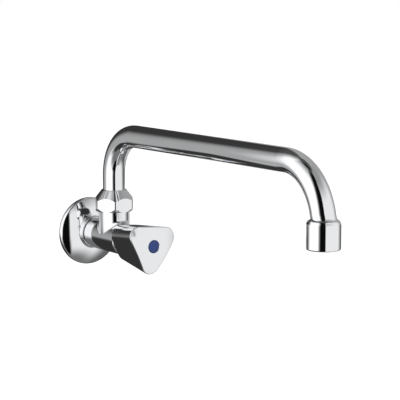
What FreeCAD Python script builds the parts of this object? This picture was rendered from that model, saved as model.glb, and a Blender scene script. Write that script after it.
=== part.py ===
"""Wall tap with a swivel spout: every piece as its own solid, in millimetres.

The origin is the centre of the flange on the wall. The wall is the plane Y = 0,
the valve's axis runs from the origin along -Y towards the user, and +Z is up.
"Along" is the distance from the wall on that axis. Pieces of the valve are
drawn standing, with the axis as their own Z, and then laid over. Pieces of the
spout are drawn round their own upright axis.
"""

import FreeCAD, Part
import Sketcher
import math
import os

Vector = FreeCAD.Vector
Rotation = FreeCAD.Rotation

# Every driving dimension, in millimetres or degrees.
SIZES = {
    # spout
    "tube_radius": 9.0,
    "tube_wall": 1.0,
    "tube_insertion": 7.0,
    "neck_along": 41.7,
    "spout_reach": 273.3,
    "arch_height": 85.5,
    "rear_bend": 33.5,
    "front_bend": 42.8,
    # threaded outlet on the tube's mouth
    "outlet_radius": 10.95,
    "outlet_wall": 2.3,
    "outlet_length": 9.45,
    "outlet_tilt": 11.2,
    "flare_length": 3.31,
    # aerator
    "housing_wall": 1.15,
    "housing_length": 19.7,
    "housing_drop": 0.5,
    "housing_upper_bevel": 1.5,
    "housing_lower_round": 1.2,
    "mouth_lip": 0.85,
    "mouth_depth": 1.7,
    "insert_step": 0.7,
    "insert_wall": 1.2,
    "insert_cover": 1.3,
    "grid_depth": 2.4,
    "grid_bar": 0.7,
    "grid_pitch": 2.9,
    "grid_hub": 1.2,
    "grid_spokes": 8,
    "jet_radius": 0.75,
    "outer_jets_at": 6.6,
    "inner_jets_at": 3.4,
    "outer_jets": 12,
    "inner_jets": 6,
    "screen_thick": 0.4,
    "screen_count": 2,
    "aerator_gasket_wall": 2.4,
    "aerator_gasket_thick": 1.4,
    # union nut
    "nut_half_flat": 15.0,
    "nut_lap": 9.0,
    "nut_edge_round": 4.0,
    "nut_turn": 3.0,
    "nut_blank_spare": 0.28,
    "nut_lower_bevel": 2.5,
    "nut_lower_rise": 4.3,
    "nut_crown_wall": 1.2,
    "nut_crown_round": 1.0,
    "nut_lean": 37.6,
    "nut_roof": 5.6,
    "nut_relief": 0.9,
    # neck of the body, and what turns in it
    "neck_top": 31.0,
    "neck_thread_radius": 13.2,
    "neck_thread_depth": 0.5,
    "neck_thread_gap": 0.3,
    "neck_bore_depth": 14.6,
    "neck_port": 7.0,
    "neck_root_round": 3.5,
    "guide_wall": 1.52,
    "guide_flange_gap": 0.1,
    "guide_flange_thick": 1.45,
    "guide_ring_section": 0.86,
    "guide_ring_step": 3.0,
    "lower_ring_thick": 0.8,
    "upper_ring_thick": 0.55,
    # body
    "body_radius": 12.9,
    "body_front": 60.0,
    "body_front_bevel": 0.6,
    "body_lip": 1.1,
    "barrel_radius": 10.9,
    "barrel_start": 1.0,
    "shoulder_gap": 1.6,
    "inlet_thread_radius": 10.48,
    "inlet_length": 19.0,
    "inlet_bevel": 1.2,
    "inlet_bore": 6.5,
    "seat_bore": 5.5,
    "seat_along": 30.0,
    "seat_depth": 5.0,
    "seat_land": 1.7,
    "seat_height": 1.4,
    "front_recess_depth": 3.0,
    # flange
    "flange_radius": 28.3,
    "flange_wall": 1.3,
    "flange_height": 8.6,
    "flange_dome_radius": 55.0,
    "flange_rim_land": 2.3,
    "flange_rim_round": 3.0,
    "collar_wall": 2.2,
    "collar_height": 3.4,
    "collar_root_round": 1.0,
    "collar_edge_round": 0.8,
    "collar_mouth": 0.9,
    "collar_skirt": 1.0,
    "flange_ring_section": 0.6,
    "flange_ring_depth": 2.8,
    # bonnet
    "gasket_thick": 1.0,
    "bonnet_thread_length": 9.5,
    "bonnet_thread_depth": 0.48,
    "bonnet_flange_lap": 1.32,
    "bonnet_flange_thick": 2.1,
    "bonnet_hex_gap": 0.385,
    "bonnet_hex_length": 7.8,
    "bonnet_nose_wall": 3.04,
    "bonnet_nose_length": 9.85,
    # spindle
    "spindle_radius": 4.5,
    "spindle_thread_step": 0.5,
    "spindle_end_gap": 0.4,
    "spindle_collar_depth": 10.3,
    "spindle_collar_gap": 0.1,
    "spindle_collar_length": 3.2,
    "spindle_ring_section": 0.9,
    "spindle_ring_depth": 4.5,
    "spindle_ring_step": 6.0,
    "spindle_front_gap": 0.5,
    "square_half": 3.2,
    "square_gap": 1.4,
    "clip_thick": 1.0,
    "clip_reach": 2.1,
    "clip_groove_depth": 0.8,
    "clip_mouth_half": 2.9,
    # piston, washer and screws
    "piston_half_flat": 6.5,
    "piston_travel": 5.0,
    "piston_stop_gap": 0.8,
    "piston_floor_thick": 4.95,
    "piston_head_thick": 3.0,
    "washer_radius": 7.0,
    "washer_thick": 3.0,
    "cup_wall": 1.1,
    "cup_depth": 1.8,
    "washer_screw_radius": 1.5,
    "washer_screw_head": 3.0,
    "washer_screw_head_thick": 1.8,
    "screw_slot": 0.8,
    "handle_screw_radius": 1.95,
    "handle_screw_head_thick": 2.8,
    "handle_screw_hex": 1.5,
    "handle_screw_hex_depth": 1.7,
    "handle_screw_reach": 13.5,
    # handle
    "handle_gap": 0.6,
    "handle_length": 41.4,
    "handle_turned": -5.0,
    "handle_rear_flat": 12.6,
    "handle_rear_corner": 8.8,
    "handle_front_flat": 15.8,
    "handle_front_corner": 7.9,
    "handle_crown": 73.0,
    "handle_edge_round": 0.8,
    "handle_rear_round": 2.0,
    "handle_wall": 2.4,
    "handle_web_gap": 0.2,
    "handle_seat_thick": 2.5,
    "bush_wall": 2.3,
    "cap_bore": 4.9,
    "cap_recess_depth": 7.3,
    "cap_screw_gap": 1.0,
    "cap_bevel": 0.5,
    "cap_thick": 1.6,
    "cap_proud": 0.3,
    "cap_crown": 0.7,
    "cap_wall": 0.8,
    "cap_skirt": 1.9,
    # clearances
    "running_gap": 0.06,
    "thread_gap": 0.08,
    "seat_gap": 0.05,
}


class Size:
    """A dimension that knows both its number and its formula on the sheet."""

    def __init__(self, value, formula):
        self.value = value
        self.formula = formula

    def _join(self, other, sign, turned=False):
        if not isinstance(other, Size):
            other = Size(other, repr(other))
        first, second = (other, self) if turned else (self, other)
        value = {"+": lambda a, b: a + b, "-": lambda a, b: a - b,
                 "*": lambda a, b: a * b, "/": lambda a, b: a / b}[sign](first.value, second.value)
        return Size(value, f"({first.formula} {sign} {second.formula})")

    def __add__(self, other):
        return self._join(other, "+")

    def __sub__(self, other):
        return self._join(other, "-")

    def __mul__(self, other):
        return self._join(other, "*")

    def __truediv__(self, other):
        return self._join(other, "/")

    def __radd__(self, other):
        return self._join(other, "+", True)

    def __rsub__(self, other):
        return self._join(other, "-", True)

    def __rmul__(self, other):
        return self._join(other, "*", True)

    def __neg__(self):
        return Size(-self.value, f"(-{self.formula})")


ZERO = Size(0.0, "0")


def cosine(angle):
    return Size(math.cos(math.radians(angle.value)), f"cos({angle.formula})")


def sine(angle):
    return Size(math.sin(math.radians(angle.value)), f"sin({angle.formula})")


def tangent(angle):
    return Size(math.tan(math.radians(angle.value)), f"tan({angle.formula})")


def root(area):
    return Size(math.sqrt(area.value), f"sqrt({area.formula})")


doc = FreeCAD.newDocument("wall_tap")
sheet = doc.addObject("Spreadsheet::Sheet", "Sizes")
for row, (alias, number) in enumerate(SIZES.items(), start=1):
    sheet.set(f"A{row}", str(number))
    sheet.setAlias(f"A{row}", alias)
doc.recompute()


class Book:
    """The sheet's dimensions by name."""


size = Book()
for alias, number in SIZES.items():
    setattr(size, alias, Size(number, f"Sizes.{alias}"))


# ---------------------------------------------------------------- drawing aids

LYING = Rotation(Vector(1, 0, 0), 90)       # own Z becomes -Y, own Y becomes +Z
FORWARD = Rotation(Vector(0, 0, 1), -90)    # own X becomes -Y, own Z stays
UPRIGHT = Rotation()
QUARTER = 90

nodes = []


def bind(thing, name, dimension):
    """Set one property of an object from the sheet."""
    thing.setExpression(name, dimension.formula)


def place(thing, rotation, y=ZERO, z=ZERO):
    """Turn a finished piece and set it at a height and a distance from the wall."""
    thing.Placement = FreeCAD.Placement(Vector(0, y.value, z.value), rotation)
    bind(thing, "Placement.Base.y", y)
    bind(thing, "Placement.Base.z", z)


def new_body(label, rotation, y=ZERO, z=ZERO):
    """An empty piece, listed under its name."""
    body = doc.addObject("PartDesign::Body", label)
    body.Label = label
    place(body, rotation, y, z)
    nodes.append(body)
    return body


def new_sketch(body, name, plane, offset=ZERO):
    """A sketch on one of the body's own planes, moved off it by a distance."""
    sketch = body.newObject("Sketcher::SketchObject", name)
    flat = [item for item in body.Origin.OriginFeatures if item.Role == plane][0]
    sketch.AttachmentSupport = [(flat, "")]
    sketch.MapMode = "FlatFace"
    if offset is not ZERO:
        sketch.AttachmentOffset = FreeCAD.Placement(Vector(0, 0, offset.value), Rotation())
        bind(sketch, "AttachmentOffset.Base.z", offset)
    return sketch


def pin_point(sketch, geometry, point, x, y):
    """Hold a point of the sketch at the coordinates that the sheet gives."""
    for kind, axis, number, dimension in (("DistanceX", -2, 0, x), ("DistanceY", -1, 1, y)):
        if dimension is ZERO:
            sketch.addConstraint(Sketcher.Constraint("PointOnObject", geometry, point, axis))
            continue
        index = sketch.addConstraint(
            Sketcher.Constraint(kind, -1, 1, geometry, point, dimension.value))
        name = f"{'xy'[number]}_{geometry}_{point}"
        sketch.renameConstraint(index, name)
        bind(sketch, f"Constraints.{name}", dimension)


def hold_radius(sketch, geometry, radius):
    index = sketch.addConstraint(Sketcher.Constraint("Radius", geometry, radius.value))
    sketch.renameConstraint(index, f"radius_{geometry}")
    bind(sketch, f"Constraints.radius_{geometry}", radius)


def rounding_points(before, corner, after, radius):
    """Where an arc of that radius leaves and meets the two sides of a corner, and its centre."""
    back = (before - corner).normalize()
    ahead = (after - corner).normalize()
    half = back.getAngle(ahead) / 2
    reach = radius / math.tan(half)
    middle = (back + ahead).normalize()
    return corner + back * reach, corner + ahead * reach, corner + middle * (radius / math.sin(half))


def draw_outline(sketch, corners, arcs=None, closed=True):
    """Sides from corner to corner. A corner is (x, y) or (x, y, rounding radius).

    arcs gives the radius of a side that bulges, by the number of its first corner:
    to the left of the way the outline runs, or to the right where it is negative.
    """
    arcs = arcs or {}
    spots = [Vector(c[0].value, c[1].value, 0) for c in corners]
    count = len(corners)
    sides = count if closed else count - 1
    rounds = {}
    for i, corner in enumerate(corners):
        if len(corner) == 3:
            rounds[i] = rounding_points(spots[i - 1], spots[i], spots[(i + 1) % count],
                                        corner[2].value)
    side_ids, swapped = [], set()
    for i in range(sides):
        j = (i + 1) % count
        start = rounds[i][1] if i in rounds else spots[i]
        end = rounds[j][0] if j in rounds else spots[j]
        if i in arcs:
            bulge = arcs[i].value
            chord = end - start
            rise = math.copysign(math.sqrt(bulge ** 2 - (chord.Length / 2) ** 2), bulge)
            across = Vector(-chord.y, chord.x, 0).normalize()
            centre = (start + end) / 2 - across * rise
            ends = (end, start) if bulge > 0 else (start, end)
            first, last = (math.atan2(p.y - centre.y, p.x - centre.x) for p in ends)
            circle = Part.Circle(centre, Vector(0, 0, 1), abs(bulge))
            side_ids.append(sketch.addGeometry(Part.ArcOfCircle(circle, first, last), False))
            if bulge > 0:
                swapped.add(i)
        else:
            side_ids.append(sketch.addGeometry(Part.LineSegment(start, end), False))
    start_of = {i: 2 if i in swapped else 1 for i in range(sides)}
    end_of = {i: 1 if i in swapped else 2 for i in range(sides)}
    for i, corner in enumerate(corners):
        before = (i - 1) % count
        if not closed and i == 0:
            pin_point(sketch, side_ids[0], start_of[0], corner[0], corner[1])
        elif not closed and i == count - 1:
            pin_point(sketch, side_ids[-1], end_of[sides - 1], corner[0], corner[1])
        elif i in rounds:
            leave, meet, centre = rounds[i]
            turn = (leave - centre).cross(meet - centre).z
            ends = (leave, meet) if turn > 0 else (meet, leave)
            angles = [math.atan2(p.y - centre.y, p.x - centre.x) for p in ends]
            circle = Part.Circle(centre, Vector(0, 0, 1), corner[2].value)
            arc = sketch.addGeometry(Part.ArcOfCircle(circle, *angles), False)
            first, last = (1, 2) if turn > 0 else (2, 1)
            sketch.addConstraint(Sketcher.Constraint(
                "Tangent", side_ids[before], end_of[before], arc, first))
            sketch.addConstraint(Sketcher.Constraint(
                "Tangent", arc, last, side_ids[i], start_of[i]))
            hold_radius(sketch, arc, corner[2])
            mark = sketch.addGeometry(Part.Point(spots[i]), True)
            pin_point(sketch, mark, 1, corner[0], corner[1])
            sketch.addConstraint(Sketcher.Constraint("PointOnObject", mark, 1, side_ids[before]))
            sketch.addConstraint(Sketcher.Constraint("PointOnObject", mark, 1, side_ids[i]))
        else:
            sketch.addConstraint(Sketcher.Constraint(
                "Coincident", side_ids[before], end_of[before], side_ids[i], start_of[i]))
            pin_point(sketch, side_ids[i], start_of[i], corner[0], corner[1])
    for i, radius in arcs.items():
        hold_radius(sketch, side_ids[i], radius if radius.value > 0 else -radius)


def draw_circle(sketch, radius, x=ZERO, y=ZERO):
    circle = Part.Circle(Vector(x.value, y.value, 0), Vector(0, 0, 1), radius.value)
    index = sketch.addGeometry(circle, False)
    pin_point(sketch, index, 3, x, y)
    hold_radius(sketch, index, radius)


def draw_polygon(sketch, sides, half_flat, turned, rounding=None):
    """A regular outline with one corner at the angle given, and rounded corners if asked."""
    reach = half_flat / math.cos(math.pi / sides)
    corners = []
    for step in range(sides):
        angle = turned + step * 360 / sides
        corner = (reach * cosine(angle), reach * sine(angle))
        corners.append(corner + (rounding,) if rounding else corner)
    draw_outline(sketch, corners)


def spin(body, name, corners, arcs=None, cut=False, plane="XZ_Plane", offset=ZERO):
    """Turn an outline of (radius, height) corners about the sketch's upright axis."""
    sketch = new_sketch(body, name + "_outline", plane, offset)
    draw_outline(sketch, corners, arcs)
    feature = body.newObject("PartDesign::Groove" if cut else "PartDesign::Revolution", name)
    feature.Profile = sketch
    feature.ReferenceAxis = (sketch, ["V_Axis"])
    feature.Angle = 360
    doc.recompute()
    return feature


def raise_prism(body, name, draw, start, length, cut=False):
    """Carry what draw puts in a level sketch up by a length, as material or as a cut."""
    sketch = new_sketch(body, name + "_outline", "XY_Plane", start)
    draw(sketch)
    feature = body.newObject("PartDesign::Pocket" if cut else "PartDesign::Pad", name)
    feature.Profile = sketch
    feature.Type = "Length"
    feature.Length = length.value
    bind(feature, "Length", length)
    feature.Reversed = cut
    before = body.Shape.Volume if cut else 0
    doc.recompute()
    if cut and not body.Shape.Volume < before - 1e-3:
        raise SystemExit(f"{name} cuts nothing")
    return feature


def repeat(body, name, feature, count):
    """Copies of a feature round the body's own Z axis."""
    pattern = body.newObject("PartDesign::PolarPattern", name)
    pattern.Originals = [feature]
    axis = [item for item in body.Origin.OriginFeatures if item.Role == "Z_Axis"][0]
    pattern.Axis = (axis, [""])
    pattern.Angle = 360
    pattern.Occurrences = int(count.value)
    bind(pattern, "Occurrences", count)
    body.Tip = pattern
    doc.recompute()
    return pattern


def edges_where(shape, test):
    """Names of the edges that pass the test at their middle and near both ends."""
    names = []
    for number, edge in enumerate(shape.Edges, start=1):
        low, high = edge.ParameterRange
        places = [edge.valueAt(low + (high - low) * share) for share in (0.1, 0.5, 0.9)]
        if all(test(spot) for spot in places):
            names.append(f"Edge{number}")
    return names


def round_edges(body, name, feature, radius, test):
    """Round the edges of the last feature that pass the test."""
    names = edges_where(feature.Shape, test)
    if not names:
        raise SystemExit(f"{name} finds no edge")
    fillet = body.newObject("PartDesign::Fillet", name)
    fillet.Base = (feature, names)
    fillet.Radius = radius.value
    bind(fillet, "Radius", radius)
    doc.recompute()
    return fillet


def ring(name, radius, section, rotation, y=ZERO, z=ZERO):
    """A round seal: centre-line radius and half its thickness."""
    torus = doc.addObject("Part::Torus", name)
    torus.Radius1, torus.Radius2 = radius.value, section.value
    bind(torus, "Radius1", radius)
    bind(torus, "Radius2", section)
    place(torus, rotation, y, z)
    return torus


def group(label, members):
    """Several separate solids under one name."""
    bundle = doc.addObject("Part::Compound", label)
    bundle.Label = label
    bundle.Links = members
    nodes.append(bundle)
    return bundle


def washer_corners(inner, outer, low, high):
    """Outline of a flat ring."""
    return [(inner, low), (outer, low), (outer, high), (inner, high)]


# ----------------------------------------------------------- shared dimensions

gap = size.seat_gap
hexagon_corner = 1 / math.cos(math.pi / 6)      # reach of a hexagon's corner, per half flat
TOUCH = 0.01                                    # nearer than this, an edge lies on a surface

neck_y = -size.neck_along
outlet_y = neck_y - size.spout_reach

# Flange: its collar stands on the rosette, and its seal lies under the collar's edge.
collar_radius = size.barrel_radius + size.collar_wall
collar_top = size.flange_height + size.collar_height
collar_foot = size.flange_height - size.flange_wall - size.collar_skirt
flange_ring_along = collar_top - size.flange_ring_depth
shoulder_along = collar_top + size.shoulder_gap

# Front socket of the body, from its rim inwards.
front_recess_radius = size.body_radius - size.body_lip
bonnet_thread_radius = front_recess_radius - size.bonnet_flange_lap
chamber_radius = bonnet_thread_radius - size.bonnet_thread_depth
recess_floor = size.body_front - size.front_recess_depth
bonnet_start = recess_floor - size.bonnet_thread_length
seat_start = size.seat_along - size.seat_depth

# Bonnet: gasket, flange, hexagon and nose. Its hexagon clears the handle's cavity.
handle_cavity = size.handle_rear_flat - size.handle_wall
bonnet_hex_reach = handle_cavity - size.bonnet_hex_gap
bonnet_half_flat = bonnet_hex_reach / hexagon_corner
bonnet_nose_radius = size.spindle_radius + size.running_gap + size.bonnet_nose_wall
bonnet_flange_start = recess_floor + size.gasket_thick + gap
bonnet_flange_front = bonnet_flange_start + size.bonnet_flange_thick
bonnet_hex_front = bonnet_flange_front + size.bonnet_hex_length
bonnet_front = bonnet_hex_front + size.bonnet_nose_length

# Piston and spindle: closed, the piston is one travel short of the spindle's collar.
washer_front = size.seat_along + gap + size.washer_thick
piston_bore_floor = washer_front + size.piston_floor_thick
spindle_start = piston_bore_floor + size.piston_travel + size.spindle_end_gap
collar_along = bonnet_start + size.spindle_collar_depth
piston_front = collar_along - size.piston_travel - size.piston_stop_gap
spindle_collar_front = collar_along + size.spindle_collar_length
spindle_collar_radius = size.piston_half_flat - size.spindle_collar_gap
spindle_thread_radius = size.spindle_radius - size.spindle_thread_step
spindle_ring_along = spindle_collar_front + size.spindle_ring_depth
bonnet_step = spindle_collar_front + 2 * gap
clip_start = bonnet_front + 2 * gap
clip_front = clip_start + size.clip_thick + 2 * gap
clip_radius = size.spindle_radius + size.clip_reach
square_start = clip_front + size.square_gap

# Handle: from its gap at the body to its crown, and the seat of its screw.
handle_rear = size.body_front + size.handle_gap
handle_front = handle_rear + size.handle_length
crown_apex = handle_front - gap * 4
handle_web_along = square_start + size.handle_web_gap
handle_seat_along = crown_apex - size.cap_recess_depth
insert_front = handle_seat_along - size.handle_seat_thick
insert_half_flat = size.square_half + size.bush_wall
spindle_front = insert_front - size.spindle_front_gap
handle_screw_head = size.cap_bore - size.cap_screw_gap

# Neck: bore for the tube's guide, and a stack of rings under the nut's roof.
neck_radius = size.neck_thread_radius - size.neck_thread_depth
neck_bore = size.tube_radius + size.guide_wall + size.thread_gap
neck_bore_floor = size.neck_top - size.neck_bore_depth
tube_foot = size.neck_top - size.tube_insertion
guide_flange_radius = size.neck_thread_radius - size.nut_relief - size.guide_flange_gap
lower_ring_top = size.neck_top + size.lower_ring_thick
guide_flange_foot = lower_ring_top + gap
guide_flange_top = guide_flange_foot + size.guide_flange_thick
upper_ring_foot = guide_flange_top + gap
upper_ring_top = upper_ring_foot + size.upper_ring_thick - gap
nut_ceiling = upper_ring_top + gap
nut_foot = size.neck_top - size.nut_lap
nut_top = nut_ceiling + size.nut_roof
nut_blank_radius = size.nut_half_flat * hexagon_corner + size.nut_blank_spare
nut_crown_radius = size.tube_radius + size.nut_crown_wall

# Tube's end: how far behind the outlet's axis, and how high. The outlet hangs from it.
tube_bore = size.tube_radius - size.tube_wall
tube_end_back = size.front_bend - size.front_bend * cosine(size.outlet_tilt)
tube_end_height = size.arch_height - size.front_bend + size.front_bend * sine(size.outlet_tilt)
flare_foot = tube_end_height - size.flare_length
outlet_foot = flare_foot - size.outlet_length

# Aerator: the shell screws on the outlet and holds the jet regulator against its end.
housing_radius = size.outlet_radius + size.housing_wall
housing_top = flare_foot - size.housing_drop
housing_foot = housing_top - size.housing_length
insert_radius = size.outlet_radius - size.insert_step
housing_mouth = insert_radius - size.mouth_lip
insert_ledge = outlet_foot - gap - size.aerator_gasket_thick - size.insert_cover


# ------------------------------------------------------------------- the flange

def make_flange():
    """Pressed domed rosette with a collar that slides on the barrel."""
    body = new_body("wall_flange", LYING)
    bore = size.barrel_radius + gap
    groove = size.barrel_radius + 2 * size.flange_ring_section + gap
    groove_half = size.flange_ring_section + 2 * gap
    hollow_radius = size.flange_radius - size.flange_wall
    hollow_wall = collar_radius - gap
    pressing = spin(body, "pressing", [
        (hollow_radius, ZERO),
        (size.flange_radius, ZERO),
        (size.flange_radius, size.flange_rim_land),
        (collar_radius, size.flange_height),
        (collar_radius, collar_top, size.collar_edge_round),
        (bore + size.collar_mouth, collar_top),
        (bore, collar_top - size.collar_mouth),
        (bore, flange_ring_along + groove_half),
        (groove, flange_ring_along + groove_half),
        (groove, flange_ring_along - groove_half),
        (bore, flange_ring_along - groove_half),
        (bore, collar_foot),
        (hollow_wall, collar_foot),
        (hollow_wall, size.flange_height - size.flange_wall),
        (hollow_radius, size.flange_rim_land / 2),
    ], arcs={2: -size.flange_dome_radius, 13: size.flange_dome_radius - size.flange_wall})

    def on_circle(radius, height):
        def test(spot):
            off_radius = abs(math.hypot(spot.x, spot.y) - radius.value)
            return off_radius < TOUCH and abs(spot.z - height.value) < TOUCH
        return test

    rim = round_edges(body, "rim", pressing, size.flange_rim_round,
                      on_circle(size.flange_radius, size.flange_rim_land))
    round_edges(body, "collar_root", rim, size.collar_root_round,
                on_circle(collar_radius, size.flange_height))
    seal = ring("flange_o_ring", size.barrel_radius + size.flange_ring_section + gap / 2,
                size.flange_ring_section, LYING, y=-flange_ring_along)
    nodes.append(seal)


# --------------------------------------------------------------------- the body

def make_valve_body():
    """Casting: male inlet, barrel, seat, chamber, upright neck and front socket."""
    body = new_body("valve_body", LYING)
    inlet_start = -size.inlet_length
    shoulder = size.body_radius - size.barrel_radius
    spin(body, "casting", [
        (ZERO, inlet_start),
        (size.inlet_thread_radius - size.inlet_bevel, inlet_start),
        (size.inlet_thread_radius, inlet_start + size.inlet_bevel),
        (size.inlet_thread_radius, size.barrel_start),
        (size.barrel_radius, size.barrel_start),
        (size.barrel_radius, shoulder_along),
        (size.body_radius, shoulder_along + shoulder),
        (size.body_radius, size.body_front - size.body_front_bevel),
        (size.body_radius - size.body_front_bevel, size.body_front),
        (ZERO, size.body_front),
    ], arcs={5: -shoulder})
    thread_start = nut_foot + size.neck_thread_gap
    neck = spin(body, "neck", [
        (ZERO, ZERO),
        (neck_radius, ZERO),
        (neck_radius, thread_start),
        (size.neck_thread_radius, thread_start),
        (size.neck_thread_radius, size.neck_top),
        (ZERO, size.neck_top),
    ], plane="XY_Plane", offset=size.neck_along)

    def on_both(spot):
        off_body = abs(math.hypot(spot.x, spot.y) - size.body_radius.value)
        off_neck = abs(math.hypot(spot.x, spot.z - size.neck_along.value) - neck_radius.value)
        return off_body < TOUCH and off_neck < TOUCH

    round_edges(body, "neck_root", neck, size.neck_root_round, on_both)
    seat_foot = size.seat_along - size.seat_height
    seat_rim = size.seat_bore + size.seat_land
    spin(body, "waterway", [
        (ZERO, inlet_start),
        (size.inlet_bore, inlet_start),
        (size.inlet_bore, seat_start),
        (size.seat_bore, seat_start),
        (size.seat_bore, size.seat_along),
        (seat_rim, size.seat_along),
        (seat_rim, seat_foot),
        (chamber_radius, seat_foot),
        (chamber_radius, bonnet_start),
        (bonnet_thread_radius, bonnet_start),
        (bonnet_thread_radius, recess_floor),
        (front_recess_radius, recess_floor),
        (front_recess_radius, size.body_front),
        (ZERO, size.body_front),
    ], cut=True)
    spin(body, "neck_bore", [
        (ZERO, ZERO),
        (size.neck_port, ZERO),
        (size.neck_port, neck_bore_floor),
        (neck_bore, neck_bore_floor),
        (neck_bore, size.neck_top),
        (ZERO, size.neck_top),
    ], cut=True, plane="XY_Plane", offset=size.neck_along)


# ------------------------------------------------------------------- the bonnet

def make_bonnet():
    """Headpart: thread, flange, hexagon and nose, with a hexagon guide inside."""
    body = new_body("bonnet", LYING)
    thread = bonnet_thread_radius - size.thread_gap
    flange = front_recess_radius - size.thread_gap
    blank = spin(body, "blank", [
        (ZERO, bonnet_start),
        (thread, bonnet_start),
        (thread, bonnet_flange_start),
        (flange, bonnet_flange_start),
        (flange, bonnet_flange_front),
        (bonnet_hex_reach, bonnet_flange_front),
        (bonnet_hex_reach, bonnet_hex_front),
        (bonnet_nose_radius, bonnet_hex_front),
        (bonnet_nose_radius, bonnet_front),
        (ZERO, bonnet_front),
    ])

    def flats(sketch):
        draw_circle(sketch, front_recess_radius * 2)
        draw_polygon(sketch, 6, bonnet_half_flat, ZERO)

    raise_prism(body, "flats", flats, bonnet_flange_front, size.bonnet_hex_length, cut=True)
    raise_prism(body, "guide",
                lambda sketch: draw_polygon(sketch, 6, size.piston_half_flat + gap, ZERO),
                bonnet_start, bonnet_step - bonnet_start, cut=True)
    raise_prism(body, "bore",
                lambda sketch: draw_circle(sketch, size.spindle_radius + size.running_gap),
                bonnet_step, bonnet_front - bonnet_step, cut=True)
    gasket = new_body("bonnet_gasket", LYING)
    spin(gasket, "gasket", washer_corners(bonnet_thread_radius, flange, recess_floor,
                                          recess_floor + size.gasket_thick))
    return blank


# ----------------------------------------------------------- spindle and piston

def make_spindle():
    """Stem with its drive thread, collar, seal grooves and square end."""
    body = new_body("spindle", LYING)
    thread = spindle_thread_radius - size.running_gap
    seal_floor = size.spindle_radius + size.running_gap - gap - 2 * size.spindle_ring_section
    half = size.spindle_ring_section + 2 * gap
    clip_floor = size.spindle_radius - size.clip_groove_depth
    corners = [
        (ZERO, spindle_start),
        (thread, spindle_start),
        (thread, collar_along),
        (spindle_collar_radius, collar_along),
        (spindle_collar_radius, spindle_collar_front),
        (size.spindle_radius, spindle_collar_front),
    ]
    seal_spots = [spindle_ring_along, spindle_ring_along + size.spindle_ring_step]
    for spot in seal_spots:
        corners += [(size.spindle_radius, spot - half), (seal_floor, spot - half),
                    (seal_floor, spot + half), (size.spindle_radius, spot + half)]
    corners += [
        (size.spindle_radius, clip_start),
        (clip_floor, clip_start),
        (clip_floor, clip_front),
        (size.spindle_radius, clip_front),
        (size.spindle_radius, spindle_front),
        (ZERO, spindle_front),
    ]
    spin(body, "stem", corners)

    def square(sketch):
        draw_circle(sketch, size.spindle_radius * 2)
        draw_polygon(sketch, 4, size.square_half, size.handle_turned)

    raise_prism(body, "square", square, square_start,
                spindle_front - square_start, cut=True)
    tapped_floor = handle_seat_along - size.handle_screw_reach - size.handle_screw_radius
    raise_prism(body, "tapped_hole",
                lambda sketch: draw_circle(sketch, size.handle_screw_radius + gap),
                tapped_floor, spindle_front - tapped_floor, cut=True)

    middle = seal_floor + size.spindle_ring_section
    group("spindle_o_rings", [
        ring(f"spindle_o_ring_{i + 1}", middle, size.spindle_ring_section, LYING, y=-spot)
        for i, spot in enumerate(seal_spots)])

    clip = new_body("spindle_clip", LYING)
    spin(clip, "clip", washer_corners(clip_floor, clip_radius, clip_start + gap,
                                      clip_start + gap + size.clip_thick))

    def mouth(sketch):
        half, reach = size.clip_mouth_half, clip_radius * 2
        draw_outline(sketch, [(-half, ZERO), (half, ZERO), (half, reach), (-half, reach)])

    raise_prism(clip, "mouth", mouth, clip_start, size.clip_thick * 3, cut=True)


def make_piston():
    """Hexagon nut on the spindle's thread, with the washer in its cup."""
    body = new_body("valve_piston", LYING)
    head_front = washer_front + size.piston_head_thick
    cup = size.washer_radius + size.cup_wall
    hex_reach = size.piston_half_flat * hexagon_corner
    spin(body, "blank", [
        (ZERO, washer_front),
        (size.washer_radius + gap, washer_front),
        (size.washer_radius + gap, washer_front - size.cup_depth),
        (cup, washer_front - size.cup_depth),
        (cup, head_front),
        (hex_reach, head_front),
        (hex_reach, piston_front),
        (ZERO, piston_front),
    ])

    def flats(sketch):
        draw_circle(sketch, chamber_radius * 2)
        draw_polygon(sketch, 6, size.piston_half_flat, ZERO)

    raise_prism(body, "flats", flats, head_front, piston_front - head_front, cut=True)
    raise_prism(body, "drive_bore", lambda sketch: draw_circle(sketch, spindle_thread_radius),
                piston_bore_floor, piston_front - piston_bore_floor, cut=True)
    raise_prism(body, "screw_hole",
                lambda sketch: draw_circle(sketch, size.washer_screw_radius + gap),
                washer_front, piston_bore_floor - washer_front, cut=True)

    washer = new_body("valve_washer", LYING)
    spin(washer, "disc", washer_corners(size.washer_screw_radius + gap, size.washer_radius,
                                        size.seat_along + gap, washer_front - gap / 2))

    screw = new_body("washer_screw", LYING)
    head_rear = size.seat_along - size.washer_screw_head_thick
    spin(screw, "screw", [
        (ZERO, head_rear),
        (size.washer_screw_head, head_rear),
        (size.washer_screw_head, size.seat_along),
        (size.washer_screw_radius, size.seat_along),
        (size.washer_screw_radius, piston_bore_floor - gap),
        (ZERO, piston_bore_floor - gap),
    ])

    def slot(sketch):
        half, reach = size.screw_slot / 2, size.washer_screw_head * 2
        draw_outline(sketch, [(-reach, -half), (reach, -half), (reach, half), (-reach, half)])

    raise_prism(screw, "slot", slot, head_rear, size.washer_screw_head_thick / 2, cut=True)


# ------------------------------------------------------------------- the handle

def draw_three_sides(sketch, half_flat, corner_radius):
    """Three flats joined by arcs, one corner near the bottom."""
    draw_polygon(sketch, 3, half_flat, size.handle_turned - QUARTER, corner_radius)


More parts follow.
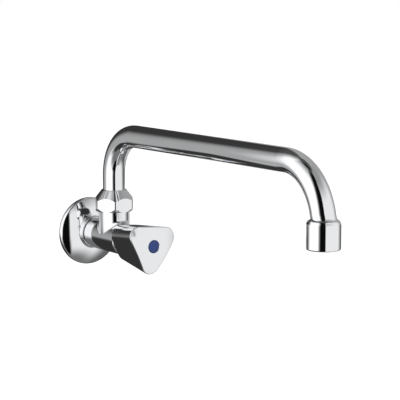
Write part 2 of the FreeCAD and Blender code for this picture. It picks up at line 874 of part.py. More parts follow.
def make_handle():
    """Hollow three-cornered handle with a crowned face, its bush, screw and cap."""
    body = new_body("handle", LYING)
    rear = new_sketch(body, "rear_outline", "XY_Plane", handle_rear)
    draw_three_sides(rear, size.handle_rear_flat, size.handle_rear_corner)
    front = new_sketch(body, "front_outline", "XY_Plane", handle_front)
    draw_three_sides(front, size.handle_front_flat, size.handle_front_corner)
    loft = body.newObject("PartDesign::AdditiveLoft", "grip")
    loft.Profile = rear
    loft.Sections = [front]
    doc.recompute()

    edge = size.handle_front_flat * 2
    sag = size.handle_crown - root(size.handle_crown * size.handle_crown - edge * edge)
    crowned = spin(body, "crown", [
        (ZERO, crown_apex),
        (edge, crown_apex - sag),
        (edge, handle_front + sag),
        (ZERO, handle_front + sag),
    ], arcs={0: size.handle_crown}, cut=True)

    def on_crown(spot):
        centre = crown_apex.value - size.handle_crown.value
        reach = math.sqrt(spot.x ** 2 + spot.y ** 2 + (spot.z - centre) ** 2)
        return abs(reach - size.handle_crown.value) < TOUCH

    rounded = round_edges(body, "face_edge", crowned, size.handle_edge_round, on_crown)
    round_edges(body, "rear_edge", rounded, size.handle_rear_round,
                lambda spot: abs(spot.z - handle_rear.value) < TOUCH)
    raise_prism(body, "cavity", lambda sketch: draw_circle(sketch, handle_cavity),
                handle_rear, handle_web_along - handle_rear, cut=True)
    raise_prism(body, "bush_pocket",
                lambda sketch: draw_polygon(sketch, 6, insert_half_flat + gap,
                                            size.handle_turned),
                handle_web_along, insert_front - handle_web_along, cut=True)
    raise_prism(body, "screw_hole",
                lambda sketch: draw_circle(sketch, size.handle_screw_radius + 3 * gap),
                insert_front, size.handle_seat_thick, cut=True)
    rim_sag = size.handle_crown - root(size.handle_crown * size.handle_crown
                                       - size.cap_bore * size.cap_bore)
    rim = crown_apex - rim_sag
    spin(body, "cap_recess", [
        (ZERO, handle_seat_along),
        (size.cap_bore, handle_seat_along),
        (size.cap_bore, rim - size.cap_bevel),
        (size.cap_bore + 2 * size.cap_bevel, rim + size.cap_bevel),
        (ZERO, rim + size.cap_bevel),
    ], cut=True)

    bush = new_body("handle_insert", LYING)
    raise_prism(bush, "bush",
                lambda sketch: draw_polygon(sketch, 6, insert_half_flat, size.handle_turned),
                handle_web_along + gap, insert_front - handle_web_along - 2 * gap)
    raise_prism(bush, "square_hole",
                lambda sketch: draw_polygon(sketch, 4, size.square_half + gap, size.handle_turned),
                handle_web_along, insert_front - handle_web_along, cut=True)

    screw = new_body("handle_screw", LYING)
    head_rear = handle_seat_along + gap
    head_front = head_rear + size.handle_screw_head_thick
    tip = handle_seat_along - size.handle_screw_reach
    spin(screw, "screw", [
        (ZERO, tip),
        (size.handle_screw_radius, tip),
        (size.handle_screw_radius, head_rear),
        (handle_screw_head, head_rear),
        (handle_screw_head, head_front),
        (ZERO, head_front),
    ])
    raise_prism(screw, "key_socket",
                lambda sketch: draw_polygon(sketch, 6, size.handle_screw_hex, ZERO),
                head_front - size.handle_screw_hex_depth, size.handle_screw_hex_depth, cut=True)

    cap = new_body("index_cap", LYING)
    cap_radius = size.cap_bore - 2 * gap
    cap_edge = rim + size.cap_proud - size.cap_crown / 2
    cap_rear = cap_edge - size.cap_thick
    crown_radius = (cap_radius * cap_radius + size.cap_crown * size.cap_crown) / (2 * size.cap_crown)
    spin(cap, "cap", [
        (ZERO, cap_rear),
        (cap_radius - size.cap_wall, cap_rear),
        (cap_radius - size.cap_wall, cap_rear - size.cap_skirt),
        (cap_radius, cap_rear - size.cap_skirt),
        (cap_radius, cap_edge),
        (ZERO, cap_edge + size.cap_crown),
    ], arcs={4: -crown_radius})


# ---------------------------------------------------------------- the union nut

def make_union_nut():
    """Turned blank with a lean-to top, then milled to a hexagon."""
    body = new_body("union_nut", UPRIGHT, y=neck_y)
    thread = size.neck_thread_radius + size.thread_gap
    relief = size.neck_thread_radius - size.nut_relief
    hole = size.tube_radius + size.thread_gap * 3
    cone_foot = nut_top - (nut_blank_radius - nut_crown_radius) / tangent(
        size.nut_lean)
    spin(body, "blank", [
        (thread, nut_foot),
        (nut_blank_radius - size.nut_lower_bevel, nut_foot),
        (nut_blank_radius, nut_foot + size.nut_lower_rise),
        (nut_blank_radius, cone_foot),
        (nut_crown_radius, nut_top, size.nut_crown_round),
        (hole, nut_top),
        (hole, nut_ceiling),
        (relief, nut_ceiling),
        (relief, lower_ring_top),
        (thread, lower_ring_top),
    ])

    def flats(sketch):
        draw_circle(sketch, nut_blank_radius * 2)
        draw_polygon(sketch, 6, size.nut_half_flat, size.nut_turn, size.nut_edge_round)

    raise_prism(body, "flats", flats, nut_foot, nut_top - nut_foot, cut=True)


def make_slide_rings():
    """Plastic rings below and above the guide's flange."""
    lower = new_body("lower_slide_ring", UPRIGHT, y=neck_y)
    spin(lower, "ring", washer_corners(neck_bore + gap, guide_flange_radius,
                                       size.neck_top, lower_ring_top))
    upper = new_body("upper_slide_ring", UPRIGHT, y=neck_y)
    spin(upper, "ring", washer_corners(size.tube_radius + size.thread_gap * 3,
                                       guide_flange_radius, upper_ring_foot, upper_ring_top))


# -------------------------------------------------------------------- the spout

def make_spout_tube():
    """One tube: up from the neck, over the arch, and almost upright at the outlet."""
    body = new_body("spout_tube", FORWARD, y=neck_y)
    rise = size.arch_height
    path = new_sketch(body, "route", "XZ_Plane")
    draw_outline(path, [
        (ZERO, tube_foot),
        (ZERO, rise, size.rear_bend),
        (size.spout_reach - size.front_bend, rise),
        (size.spout_reach - tube_end_back, tube_end_height),
    ], arcs={2: size.front_bend}, closed=False)
    section = new_sketch(body, "section", "XY_Plane", tube_foot)
    draw_circle(section, size.tube_radius)
    draw_circle(section, tube_bore)
    pipe = body.newObject("PartDesign::AdditivePipe", "bent_tube")
    pipe.Profile = section
    pipe.Spine = (path, [f"Edge{i + 1}" for i in range(len(path.Shape.Edges))])
    doc.recompute()
    return pipe


def make_spout_guide():
    """Brass collar soldered on the tube's foot, with grooves for two seals."""
    body = new_body("spout_guide", UPRIGHT, y=neck_y)
    sleeve = neck_bore - size.thread_gap
    foot = neck_bore_floor + size.thread_gap * 5
    groove_floor = sleeve - 2 * size.guide_ring_section + gap
    half = size.guide_ring_section + 2 * gap
    first = foot + 2 * size.guide_ring_section
    spots = [first + size.guide_ring_step, first]
    corners = [
        (tube_bore, foot),
        (tube_bore, tube_foot),
        (size.tube_radius + gap / 2, tube_foot),
        (size.tube_radius + gap / 2, guide_flange_top),
        (guide_flange_radius, guide_flange_top),
        (guide_flange_radius, guide_flange_foot),
        (sleeve, guide_flange_foot),
    ]
    for spot in spots:
        corners += [(sleeve, spot + half), (groove_floor, spot + half),
                    (groove_floor, spot - half), (sleeve, spot - half)]
    corners.append((sleeve, foot))
    spin(body, "sleeve", corners)
    group("spout_o_rings", [
        ring(f"spout_o_ring_{i + 1}", groove_floor + size.guide_ring_section,
             size.guide_ring_section, UPRIGHT, y=neck_y, z=spot)
        for i, spot in enumerate(spots)])


def flare_section(body, name, share, radius):
    """Circle across the flare: share 1 is the tube's end, 0 is the flare's foot.

    The middle line is a parabola, so its offset falls with the square of the share
    and its tilt with the share itself.
    """
    sketch = new_sketch(body, name, "XY_Plane")
    height = flare_foot + (tube_end_height - flare_foot) * share
    back = -tube_end_back * (share * share)
    tilt = size.outlet_tilt * share
    sketch.AttachmentOffset = FreeCAD.Placement(
        Vector(back.value, 0, height.value), Rotation(Vector(0, -1, 0), tilt.value))
    bind(sketch, "AttachmentOffset.Base.x", back)
    bind(sketch, "AttachmentOffset.Base.z", height)
    bind(sketch, "AttachmentOffset.Rotation.Angle", tilt)
    draw_circle(sketch, radius)
    return sketch


def make_spout_outlet():
    """Threaded end piece brazed on the tube: its flare carries the tube's line into the thread."""
    body = new_body("spout_outlet", FORWARD, y=outlet_y)
    bore = size.outlet_radius - size.outlet_wall

    def flare(name, top_radius, foot_radius, kind):
        shares = (1, 0.6, 0.35, 0.15, 0)
        spread = foot_radius - top_radius
        sections = [flare_section(body, f"{name}_{i}", share,
                                  top_radius + spread * (1 - share) ** 4)
                    for i, share in enumerate(shares)]
        loft = body.newObject(kind, name)
        loft.Profile = sections[0]
        loft.Sections = sections[1:]
        doc.recompute()

    flare("flare", size.tube_radius, size.outlet_radius, "PartDesign::AdditiveLoft")
    raise_prism(body, "threaded_end", lambda sketch: draw_circle(sketch, size.outlet_radius),
                outlet_foot, flare_foot - outlet_foot)
    flare("waterway", tube_bore, bore, "PartDesign::SubtractiveLoft")
    raise_prism(body, "bore", lambda sketch: draw_circle(sketch, bore),
                outlet_foot, flare_foot - outlet_foot, cut=True)


# ------------------------------------------------------------------ the aerator

def make_aerator():
    """Shell, gasket, jet regulator with its grid, and two wire screens."""
    housing = new_body("aerator_housing", UPRIGHT, y=outlet_y)
    thread = size.outlet_radius + gap
    pocket = insert_radius + gap
    mouth_top = housing_foot + size.mouth_depth
    spin(housing, "shell", [
        (housing_mouth, housing_foot),
        (housing_radius, housing_foot, size.housing_lower_round),
        (housing_radius, housing_top - size.housing_upper_bevel),
        (housing_radius - size.housing_upper_bevel / 2, housing_top),
        (thread, housing_top),
        (thread, insert_ledge),
        (pocket, insert_ledge),
        (pocket, mouth_top),
        (housing_mouth, mouth_top),
    ])

    insert = new_body("aerator_insert", UPRIGHT, y=outlet_y)
    foot = mouth_top + gap
    inner = insert_radius - size.insert_wall
    cover_top = insert_ledge + size.insert_cover
    lip = size.outlet_radius - gap
    spin(insert, "cup", [
        (inner, foot),
        (insert_radius, foot),
        (insert_radius, insert_ledge),
        (lip, insert_ledge),
        (lip, cover_top),
        (ZERO, cover_top),
        (ZERO, insert_ledge),
        (inner, insert_ledge),
    ])
    grid_top = foot + size.grid_depth
    spin(insert, "hub", [(ZERO, foot), (size.grid_hub, foot), (size.grid_hub, grid_top),
                         (ZERO, grid_top)])
    for turn in (1, 2):
        middle = size.grid_pitch * turn + gap
        spin(insert, f"grid_ring_{turn}",
             washer_corners(middle - size.grid_bar / 2, middle + size.grid_bar / 2,
                            foot, grid_top))

    def spoke(sketch):
        half = size.grid_bar / 2
        far = inner + size.insert_wall / 2
        near = size.grid_hub / 2
        draw_outline(sketch, [(near, -half), (far, -half), (far, half), (near, half)])

    first = raise_prism(insert, "spoke", spoke, foot, size.grid_depth)
    repeat(insert, "spokes", first, size.grid_spokes)
    for name, at, count in (("outer_jets", size.outer_jets_at, size.outer_jets),
                            ("inner_jets", size.inner_jets_at, size.inner_jets)):
        hole = raise_prism(insert, name + "_first",
                           lambda sketch, at=at: draw_circle(sketch, size.jet_radius, at),
                           insert_ledge, size.insert_cover, cut=True)
        repeat(insert, name, hole, count)

    discs = []
    for turn in range(int(size.screen_count.value)):
        disc = doc.addObject("Part::Cylinder", f"screen_{turn + 1}")
        bind(disc, "Radius", inner - 2 * gap)
        bind(disc, "Height", size.screen_thick)
        place(disc, UPRIGHT, y=outlet_y,
              z=grid_top + gap + turn * (size.screen_thick + 2 * gap))
        discs.append(disc)
    group("aerator_screens", discs)

    gasket = new_body("aerator_gasket", UPRIGHT, y=outlet_y)
    spin(gasket, "gasket", washer_corners(lip - size.aerator_gasket_wall, lip, cover_top,
                                          outlet_foot - gap))


# ------------------------------------------------------------- build and export

make_flange()
make_valve_body()
make_bonnet()
make_spindle()
make_piston()
make_handle()
make_union_nut()
make_slide_rings()
make_spout_tube()
make_spout_guide()
make_spout_outlet()
make_aerator()
doc.recompute()

for thing in doc.Objects:
    if "Invalid" in thing.State or "Error" in thing.State:
        raise SystemExit(f"{thing.Label} failed: {thing.State}")
for node in nodes:
    if node.Shape.isNull() or not node.Shape.isValid() or not node.Shape.Solids:
        raise SystemExit(f"{node.Label} has no valid solid")

os.makedirs("parts", exist_ok=True)
for node in nodes:
    node.Shape.exportStep(f"parts/{node.Label}.step")
    box = node.Shape.BoundBox
    print(f"{node.Label:18} {len(node.Shape.Solids)} solid(s) {node.Shape.Volume:10.1f} mm3  "
          f"X {box.XMin:7.2f} {box.XMax:7.2f}  Y {box.YMin:8.2f} {box.YMax:7.2f}  "
          f"Z {box.ZMin:6.2f} {box.ZMax:6.2f}")
print(len(nodes), "pieces")
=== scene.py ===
"""Wall tap with a swivel spout: its finishes, its finest detail and the studio round it.

Everything is in metres. The wall is the plane Y = 0, the tap points along -Y and +Z is up.
"""
import math

import bpy
import numpy as np
from mathutils import Matrix, Vector


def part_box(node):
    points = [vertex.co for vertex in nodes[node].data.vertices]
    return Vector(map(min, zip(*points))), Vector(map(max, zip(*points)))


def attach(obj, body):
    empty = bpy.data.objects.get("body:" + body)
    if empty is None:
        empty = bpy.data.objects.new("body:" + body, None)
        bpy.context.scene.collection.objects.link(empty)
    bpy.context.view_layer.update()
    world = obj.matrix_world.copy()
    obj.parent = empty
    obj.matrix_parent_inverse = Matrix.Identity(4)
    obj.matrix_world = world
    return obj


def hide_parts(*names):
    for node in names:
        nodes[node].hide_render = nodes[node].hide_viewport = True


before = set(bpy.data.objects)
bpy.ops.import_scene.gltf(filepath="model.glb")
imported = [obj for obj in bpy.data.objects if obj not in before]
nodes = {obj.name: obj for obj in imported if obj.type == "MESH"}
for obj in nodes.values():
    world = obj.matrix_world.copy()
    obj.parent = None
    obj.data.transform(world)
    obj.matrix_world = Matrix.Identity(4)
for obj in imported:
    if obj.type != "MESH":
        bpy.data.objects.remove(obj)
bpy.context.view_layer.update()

MM = 0.001
FULL_TURN = 2 * math.pi


# ------------------------------------------------------------------------------ shader wiring

class Wire:
    """One output of a shader node. Arithmetic on wires adds the Math nodes that work it out."""

    def __init__(self, tree, socket=None):
        self.tree = tree
        self.socket = socket

    def node(self, kind, settings=None, inputs=None, output=0):
        """Any node: settings first, then a value or a wire for each input."""
        made = self.tree.nodes.new(kind)
        for name, value in (settings or {}).items():
            setattr(made, name, value)
        for name, value in (inputs or {}).items():
            if isinstance(value, Wire):
                self.tree.links.new(value.socket, made.inputs[name])
            else:
                made.inputs[name].default_value = value
        return Wire(self.tree, made.outputs[output])

    def maths(self, operation, first, second):
        return self.node("ShaderNodeMath", {"operation": operation}, {0: first, 1: second})

    def __add__(self, other):
        return self.maths("ADD", self, other)

    def __radd__(self, other):
        return self.maths("ADD", other, self)

    def __sub__(self, other):
        return self.maths("SUBTRACT", self, other)

    def __rsub__(self, other):
        return self.maths("SUBTRACT", other, self)

    def __mul__(self, other):
        return self.maths("MULTIPLY", self, other)

    def __rmul__(self, other):
        return self.maths("MULTIPLY", other, self)


def start_material(name):
    """An empty material, and a loose wire to build on."""
    material = bpy.data.materials.new(name)
    material.use_nodes = True
    material.node_tree.nodes.clear()
    return material, Wire(material.node_tree)


def show(board, surface, output="ShaderNodeOutputMaterial"):
    """Send a shader to the output of its material or world."""
    made = board.tree.nodes.new(output)
    board.tree.links.new(surface.socket, made.inputs["Surface"])


def place_wire(board):
    """Object coordinates, in metres."""
    return board.node("ShaderNodeTexCoord", output="Object")


def noise(board, place, scale, detail, roughness=0.5, stretch=(1.0, 1.0, 1.0)):
    """Soft noise from 0 to 1; scale is in blobs per metre, and stretch multiplies it per axis."""
    spread = board.node("ShaderNodeMapping", None, {"Vector": place, "Scale": stretch})
    return board.node("ShaderNodeTexNoise", None, {
        "Vector": spread, "Scale": scale, "Detail": detail, "Roughness": roughness})


def tint(board, factor, low, high):
    """Colour between two colours. The Mix node's colour sockets are numbers 6, 7 and, out, 2."""
    return board.node("ShaderNodeMix", {"data_type": "RGBA"}, {
        0: factor, 6: (*low, 1.0), 7: (*high, 1.0)}, output=2)


def bump(board, height, distance):
    return board.node("ShaderNodeBump", None, {
        "Height": height, "Distance": distance, "Strength": 1.0})


def principled(board, constants, varying):
    """The shader itself: constants on its own sockets, and wires only where it varies."""
    return board.node("ShaderNodeBsdfPrincipled", None, {**constants, **varying})


# ---------------------------------------------------------------------------------- materials

def chrome(name, haze, ripple, wave):
    """Bright plating: a cool grey mirror whose polish and flatness vary a little.

    haze is about the mean roughness, seven tenths of it even and the rest in patches and
    grain. ripple is the depth in metres of the waves left by grinding, and wave how many of
    them there are in a metre.
    """
    material, board = start_material(name)
    place = place_wire(board)
    broad = noise(board, place, scale=45.0, detail=3.0)
    fine = noise(board, place, scale=900.0, detail=4.0, roughness=0.6)
    waves = noise(board, place, scale=wave, detail=1.0, roughness=0.4)
    rough = haze * 0.7 + broad * (haze * 0.4) + fine * (haze * 0.3)
    show(board, principled(board, {"Metallic": 1.0}, {
        "Base Color": tint(board, broad, (0.80, 0.81, 0.83), (0.87, 0.875, 0.88)),
        "Roughness": rough,
        "Normal": bump(board, waves + fine * 0.02, ripple)}))
    return material


def turned_metal(name, low, high, haze, axis):
    """Machined metal: rings left by the lathe round one axis, with a slight stain.

    The rings are noise drawn out across the axis. They move the roughness by up to a quarter
    of haze either way, and the stain by up to a fifth.
    """
    material, board = start_material(name)
    place = place_wire(board)
    stretch = [6.0, 6.0, 6.0]
    stretch[axis] = 2600.0
    rings = noise(board, place, scale=1.0, detail=2.0, roughness=0.6, stretch=stretch)
    stain = noise(board, place, scale=160.0, detail=3.0)
    rough = haze + (rings - 0.5) * (haze * 0.5) + (stain - 0.5) * (haze * 0.4)
    show(board, principled(board, {"Metallic": 1.0}, {
        "Base Color": tint(board, stain, low, high),
        "Roughness": rough,
        "Normal": bump(board, rings, 0.01 * MM)}))
    return material


def moulded(name, low, high, rough_low, rough_high, grain, depth, gloss=0.5):
    """Moulded plastic or rubber: faint flow marks in the colour, and a fine grain."""
    material, board = start_material(name)
    place = place_wire(board)
    flow = noise(board, place, scale=120.0, detail=2.0)
    speck = noise(board, place, scale=grain, detail=3.0, roughness=0.6)
    show(board, principled(board, {"Specular IOR Level": gloss}, {
        "Base Color": tint(board, flow, low, high),
        "Roughness": rough_low + speck * (rough_high - rough_low),
        "Normal": bump(board, speck, depth)}))
    return material


def fibre(name, low, high):
    """Pressed fibre: short threads that lie every way in the ring's plane."""
    material, board = start_material(name)
    place = place_wire(board)
    threads = noise(board, place, scale=1.0, detail=4.0, roughness=0.7,
                    stretch=(2500.0, 300.0, 900.0))
    speck = noise(board, place, scale=3000.0, detail=2.0)
    show(board, principled(board, {}, {
        "Base Color": tint(board, threads, low, high),
        "Roughness": 0.6 + speck * 0.3,
        "Normal": bump(board, threads, 0.06 * MM)}))
    return material


BRASS_LOW, BRASS_HIGH = (0.62, 0.42, 0.17), (0.80, 0.60, 0.28)
ALONG_Y, ALONG_Z = 1, 2

tube_chrome = chrome("tube chrome", 0.035, 0.01 * MM, 55.0)
turned_chrome = chrome("turned chrome", 0.035, 0.006 * MM, 120.0)
cast_chrome = chrome("cast chrome", 0.045, 0.02 * MM, 90.0)
handle_chrome = chrome("handle chrome", 0.11, 0.02 * MM, 80.0)
brass = turned_metal("turned brass", BRASS_LOW, BRASS_HIGH, 0.24, ALONG_Y)
upright_brass = turned_metal("turned brass, upright", BRASS_LOW, BRASS_HIGH, 0.24, ALONG_Z)
steel = turned_metal("stainless steel", (0.50, 0.50, 0.49), (0.62, 0.61, 0.60), 0.26, ALONG_Y)
wire_steel = turned_metal("screen wire", (0.55, 0.55, 0.54), (0.66, 0.65, 0.64), 0.22, ALONG_Z)
rubber = moulded("black rubber", (0.012, 0.012, 0.013), (0.022, 0.022, 0.023),
                 0.50, 0.72, 2500.0, 0.02 * MM)
white_plastic = moulded("white plastic", (0.78, 0.78, 0.76), (0.84, 0.84, 0.82),
                        0.32, 0.45, 1800.0, 0.01 * MM)
blue_plastic = moulded("blue plastic", (0.022, 0.048, 0.185), (0.030, 0.062, 0.225),
                       0.30, 0.42, 1500.0, 0.006 * MM, gloss=0.3)
red_fibre = fibre("red fibre", (0.20, 0.035, 0.022), (0.42, 0.10, 0.06))

finishes = {
    tube_chrome: ["spout_tube"],
    turned_chrome: ["union_nut", "aerator_housing", "spout_outlet", "wall_flange"],
    cast_chrome: ["valve_body"],
    handle_chrome: ["handle"],
    brass: ["bonnet", "spindle", "valve_piston"],
    upright_brass: ["spout_guide"],
    steel: ["spindle_clip", "washer_screw", "handle_screw"],
    wire_steel: ["aerator_screens"],
    rubber: ["flange_o_ring", "spindle_o_rings", "valve_washer", "spout_o_rings",
             "aerator_gasket"],
    white_plastic: ["handle_insert", "lower_slide_ring", "upper_slide_ring", "aerator_insert"],
    blue_plastic: ["index_cap"],
    red_fibre: ["bonnet_gasket"],
}
for finish, names in finishes.items():
    for name in names:
        for slot in nodes[name].material_slots:
            slot.material = finish


# ------------------------------------------------------------------------------------ surfaces

def grid_faces(rows, columns, closed_columns):
    """Quads of a grid of points, row by row; closed columns join each row's end to its start."""
    index = np.arange(rows * columns).reshape(rows, columns)
    if closed_columns:
        index = np.hstack([index, index[:, :1]])
    corners = [index[:-1, :-1], index[:-1, 1:], index[1:, 1:], index[1:, :-1]]
    return np.stack(corners, axis=-1).reshape(-1, 4)


def make_mesh(name, points, faces, smooth):
    """A mesh from an array of points and rows of point numbers."""
    mesh = bpy.data.meshes.new(name)
    mesh.from_pydata(np.asarray(points, float).reshape(-1, 3).tolist(), [], faces)
    mesh.polygons.foreach_set("use_smooth", np.full(len(mesh.polygons), smooth))
    mesh.update()
    return mesh


def add_object(name, data):
    made = bpy.data.objects.new(name, data)
    bpy.context.scene.collection.objects.link(made)
    return made


def add_piece(mesh, material, slot, body, *replaced):
    """A piece at the origin that rides on a body and stands for the CAD nodes named."""
    piece = add_object(mesh.name, mesh)
    mesh.materials.append(material)
    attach(piece, body)
    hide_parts(*replaced)


# ----------------------------------------------------------------------------- woven screens

def weave_screens():
    """Two discs of plain-woven wire.

    A wire at distance d from the middle is as long as the chord there, half = root(R2 - d2).
    Its middle line rises and falls as a cosine with the crossing wires, one way on even
    wires and the other on odd ones, and its skin is a circle carried along that line.
    """
    low, high = (Vector(corner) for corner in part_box("aerator_screens"))
    centre = (low + high) / 2
    radius = (high.x - low.x) / 2
    pitch, wire_radius, sides, steps = 0.62 * MM, 0.11 * MM, 5, 4
    margin, twist = 2.2 * wire_radius, math.radians(24.0)
    around = np.linspace(0, FULL_TURN, sides, endpoint=False)
    wires = int(radius / pitch) - 1
    points, faces, count = [], [], 0
    for level, turned in ((low.z + margin, 0.0), (high.z - margin, twist)):
        for way in (0, 1):
            for wire in range(-wires, wires + 1):
                offset = wire * pitch
                half = math.sqrt(radius ** 2 - offset ** 2)
                crossings = max(2, int(2 * half / pitch))
                along = np.linspace(-half, half, crossings * steps + 1)[:, None]
                side = 1 if (wire + way) % 2 else -1
                height = (level + side * wire_radius * np.cos(np.pi * along / pitch)
                          + wire_radius * np.sin(around))
                across = offset + wire_radius * np.cos(around) + 0 * along
                run = along + 0 * across
                x, y = (run, across) if way == 0 else (-across, run)
                points.append(np.stack([
                    x * math.cos(turned) - y * math.sin(turned) + centre.x,
                    x * math.sin(turned) + y * math.cos(turned) + centre.y,
                    height], axis=-1).reshape(-1, 3))
                faces.append(grid_faces(len(along), sides, True)[:, ::-1] + count)
                count += len(points[-1])
    mesh = make_mesh("woven_screens", np.concatenate(points), np.concatenate(faces).tolist(), True)
    add_piece(mesh, wire_steel, "stainless_steel", "spout", "aerator_screens")


weave_screens()


# ------------------------------------------------------------------------------- inlet thread

def read_rows(items, what, numbers, kind):
    """What a CAD mesh says of its items, so many numbers for each, laid out in rows of three."""
    values = np.empty(len(items) * numbers, kind)
    items.foreach_get(what, values)
    return values.reshape(-1, 3)


def thread_inlet():
    """The body again, with a real pipe thread on its inlet in place of the plain cylinder.

    At angle a and distance y from the thread's foot, the radius is the major radius less the
    depth times a rounded wave of (y / pitch - a / turn). The wave grows over its first turns
    at the shoulder, and the lead-in cone cuts it off at the tip. All other faces keep the
    CAD's normals.
    """
    major, depth, pitch = 10.48 * MM, 1.16 * MM, 1.814 * MM
    foot, tip, bevel = -1.0 * MM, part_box("valve_body")[1][1], 1.2 * MM
    shoulder, run_out = 10.9 * MM, 1.6 * pitch
    sides, rings = 96, 150
    slack_along, slack_inward = 0.01 * MM, 0.2 * MM

    along = np.linspace(foot, tip, rings)[:, None]
    angle = np.linspace(0, FULL_TURN, sides, endpoint=False)[None, :]
    wave = 0.5 - 0.5 * np.cos(FULL_TURN * (along - foot) / pitch - angle)
    radius = major - depth * wave * np.clip((along - foot) / run_out, 0, 1)
    radius = np.minimum(radius, major - bevel + (tip - along))
    radius = np.concatenate([np.full((1, sides), shoulder), radius])
    along = np.concatenate([along[:1], along])
    sleeve = np.stack([radius * np.cos(angle), along + 0 * angle, radius * np.sin(angle)], axis=-1)
    sleeve_faces = grid_faces(rings + 1, sides, True)[:, ::-1]

    source = nodes["valve_body"].data
    spots = read_rows(source.vertices, "co", 3, float)
    corners = read_rows(source.loops, "vertex_index", 1, int)
    normals = read_rows(source.corner_normals, "vector", 3, float).reshape(-1, 3, 3)
    on_thread = (spots[:, 1] > foot - slack_along) & (
        np.hypot(spots[:, 0], spots[:, 2]) > major - bevel - slack_inward)
    kept = ~on_thread[corners].all(axis=1)

    mesh = make_mesh("tap_body_casting", np.concatenate([spots, sleeve.reshape(-1, 3)]),
                     corners[kept].tolist() + (sleeve_faces + len(spots)).tolist(), True)
    normals = normals[kept].reshape(-1, 3)
    left_to_blender = np.zeros((sleeve_faces.size, 3))
    mesh.normals_split_custom_set(np.concatenate([normals, left_to_blender]).tolist())
    add_piece(mesh, cast_chrome, "polished_chrome", "tap_body", "valve_body")


thread_inlet()


# -------------------------------------------------------------------------------------- studio

def card_cover(azimuth, elevation, card):
    """How much of each direction a soft-edged card covers, from 0 to 1.

    Across its width and across its height the card's cover is a smooth step, 3t2 - 2t3, at
    each edge, and the cover is the two multiplied. Each edge has its own width of softness.
    """
    _, (left, right), (foot, top), (soft_left, soft_right), (soft_foot, soft_top), _ = card

    def step(t):
        t = np.clip(t, 0, 1)
        return t * t * (3 - 2 * t)

    middle, half = (left + right) / 2, (right - left) / 2
    off = (azimuth - middle + 180) % 360 - 180
    soft = np.where(off < 0, soft_left, soft_right)
    across = step((half - np.abs(off)) / soft + 0.5) if half < 180 else 1.0
    return (across * step((elevation - foot) / soft_foot + 0.5)
            * step((top - elevation) / soft_top + 0.5))


def hang_cards(name, centre, distance, cards):
    """Studio cards on a sphere round a point, seen only in reflections.

    The sphere is a grid of azimuth and elevation, azimuth 0 being the wall and 90 the side
    of +X. Each card is laid over the ones before it: light = light (1 - cover) + level cover.
    Where nothing covers the grid, it has no faces.
    """
    columns, rows, least = 241, 121, 0.001
    azimuth = np.linspace(-180, 180, columns)[None, :] + np.zeros((rows, 1))
    elevation = np.linspace(-90, 90, rows)[:, None] + np.zeros((1, columns))
    light, cover = np.zeros((rows, columns)), np.zeros((rows, columns))
    for card in cards:
        own = card_cover(azimuth, elevation, card)
        light, cover = light * (1 - own) + card[-1] * own, cover * (1 - own) + own
    az, el = np.radians(azimuth), np.radians(elevation)
    points = np.stack([np.sin(az) * np.cos(el), np.cos(az) * np.cos(el), np.sin(el)], axis=-1)
    faces = grid_faces(rows, columns, False)
    faces = faces[cover.ravel()[faces].max(axis=1) > least]
    mesh = make_mesh(name, points * distance + np.array(centre), faces.tolist(), False)
    for title, values in (("cover", cover), ("light", light / np.maximum(cover, least))):
        mesh.attributes.new(title, "FLOAT", "POINT").data.foreach_set("value", values.ravel())
    material, board = start_material(name)
    light, cover = (board.node("ShaderNodeAttribute", {"attribute_name": title}, output="Fac")
                    for title in ("light", "cover"))
    glow = board.node("ShaderNodeEmission", None, {"Strength": light})
    gap = board.node("ShaderNodeBsdfTransparent")
    show(board, board.node("ShaderNodeMixShader", None, {0: cover, 1: gap, 2: glow}))
    mesh.materials.append(material)
    screen = add_object(name, mesh)
    for kind in ("camera", "diffuse", "shadow", "transmission", "volume_scatter"):
        setattr(screen, f"visible_{kind}", False)


studio_centre = Vector((0, -0.17, 0.05))
spout_front = Vector((0, -0.29, 0.05))
handle_back = Vector((0, -0.05, 0))

# name, azimuths, elevations, softness of left and right edge, of foot and top, and level
hang_cards("room", studio_centre, 1.9, [
    ("ceiling", (-180, 180), (70, 95), (1, 1), (14, 1), 0.09),
    ("ceiling over the lens", (-175, -62), (66, 95), (30, 30), (8, 1), 0.02),
    ("table", (-180, 180), (-95, -30), (1, 1), (1, 34), 0.20),
    ("side wall", (34, 122), (2, 70), (12, 70), (20, 14), 0.40),
    ("upper wall, right", (96, 205), (28, 74), (40, 16), (16, 10), 0.34),
    ("upper wall, left", (-150, -55), (38, 74), (10, 10), (16, 8), 0.36),
    ("lens flag, high", (-162, -144), (56, 86), (4, 4), (4, 4), 0.0),
    ("side wall's foot", (34, 118), (-60, 2), (12, 50), (16, 20), 0.14),
    ("rear wall", (-50, 38), (-30, 74), (8, 8), (8, 14), 0.42),
    ("low flag, side", (-72, -56), (-40, -27), (10, 8), (8, 8), 0.03),
    ("low flag, foot", (-66, -28), (-52, -32), (10, 10), (8, 6), 0.03),
    ("rear flag, top", (-26, 34), (2, 80), (20, 10), (30, 30), 0.08),
    ("rear flag", (-16, 33), (-50, 42), (14, 6), (16, 14), 0.04),
])
hang_cards("right softbox", spout_front, 0.77, [
    ("right softbox", (100, 200), (-60, 43), (44, 10), (30, 38), 0.95)])
hang_cards("lens flag", spout_front, 0.70, [
    ("lens flag", (-156, -108), (-70, 74), (5, 10), (5, 16), 0.004)])
hang_cards("left softbox", spout_front, 0.46, [
    ("left softbox", (-112, -38), (-24, 54), (28, 16), (16, 40), 1.25)])
hang_cards("stand", handle_back, 0.14, [
    ("stand", (-60, 33), (-50, -8), (10, 6), (8, 12), 0.035),
    ("wall by the handle", (44, 84), (-18, 10), (8, 14), (8, 8), 0.55)])


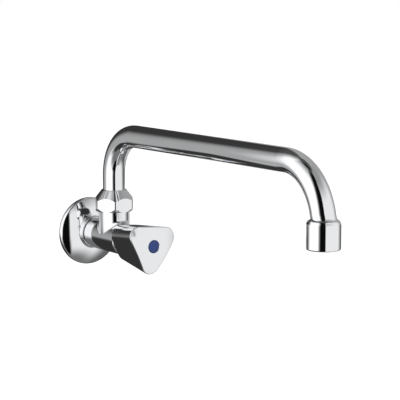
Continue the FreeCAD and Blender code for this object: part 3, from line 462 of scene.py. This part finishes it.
def looked_at(board):
    """1 on rays from the camera, a mirror or glass, and 0 on rays that gather light."""
    camera, glossy, clear = (board.node("ShaderNodeLightPath", output=kind) for kind in (
        "Is Camera Ray", "Is Glossy Ray", "Is Transmission Ray"))
    return board.maths("MINIMUM", camera + glossy + clear, 1.0)


def make_world():
    """White where the camera or a mirror looks at it; plain soft light for everything else."""
    world = bpy.data.worlds.new("studio")
    bpy.context.scene.world = world
    world.use_nodes = True
    world.node_tree.nodes.clear()
    board = Wire(world.node_tree)
    ambient = 0.55
    show(board, board.node("ShaderNodeBackground", None, {
        "Color": (1.0, 1.0, 1.0, 1.0),
        "Strength": ambient + looked_at(board) * (1.0 - ambient)}), "ShaderNodeOutputWorld")


def make_floor():
    """Pale floor well below the tap: matt, with a glow that makes it white where it is lit.

    It is see-through from below, so that the tap's underside can be looked at, and left out
    of reflections, which the cards fill.
    """
    level, reach, grey, glow_strength = -0.25, 6.0, 0.8, 0.62
    corners = [(-reach, -reach, level), (reach, -reach, level), (reach, reach, level),
               (-reach, reach, level)]
    floor = add_object("floor", make_mesh("floor", corners, [(0, 1, 2, 3)], False))
    material, board = start_material("pale floor")
    matt = board.node("ShaderNodeBsdfDiffuse", None, {"Color": (grey, grey, grey, 1.0)})
    glow = board.node("ShaderNodeEmission", None, {
        "Color": (1.0, 1.0, 1.0, 1.0), "Strength": looked_at(board) * glow_strength})
    white = board.node("ShaderNodeAddShader", None, {0: matt, 1: glow})
    gap = board.node("ShaderNodeBsdfTransparent")
    from_below = board.node("ShaderNodeNewGeometry", output="Backfacing")
    show(board, board.node("ShaderNodeMixShader", None, {0: from_below, 1: white, 2: gap}))
    floor.data.materials.append(material)
    floor.visible_glossy = False


def hang_lamp(name, place, size, power):
    """A square soft lamp aimed at the tap, left out of reflections, which the cards fill."""
    data = bpy.data.lights.new(name, "AREA")
    data.shape = "SQUARE"
    data.size = size
    data.energy = power
    lamp = add_object(name, data)
    lamp.location = place
    lamp.rotation_euler = (studio_centre - Vector(place)).to_track_quat("-Z", "Y").to_euler()
    lamp.visible_glossy = False
    lamp.visible_camera = False


make_world()
make_floor()
hang_lamp("key lamp", (-1.4, -0.6, 1.3), 1.0, 16.0)
hang_lamp("fill lamp", (1.0, -1.6, 1.0), 1.2, 10.0)


# -------------------------------------------------------------------------------------- camera

def make_camera():
    """The photograph's view, through a long lens, from the left and a little above."""
    place = (-0.70166, -1.18381, 0.21746)
    azimuth, elevation = math.radians(-34.58), math.radians(7.95)
    data = bpy.data.cameras.new("camera")
    data.sensor_width = 36.0
    data.lens = 148.25
    data.clip_start, data.clip_end = 0.01, 100.0
    camera = add_object("camera", data)
    back = Vector((math.sin(azimuth) * math.cos(elevation),
                   -math.cos(azimuth) * math.cos(elevation), math.sin(elevation)))
    turned = back.to_track_quat("Z", "Y").to_matrix().to_4x4()
    camera.matrix_world = Matrix.Translation(place) @ turned
    bpy.context.scene.camera = camera


make_camera()

bpy.context.scene.view_settings.view_transform = "Standard"
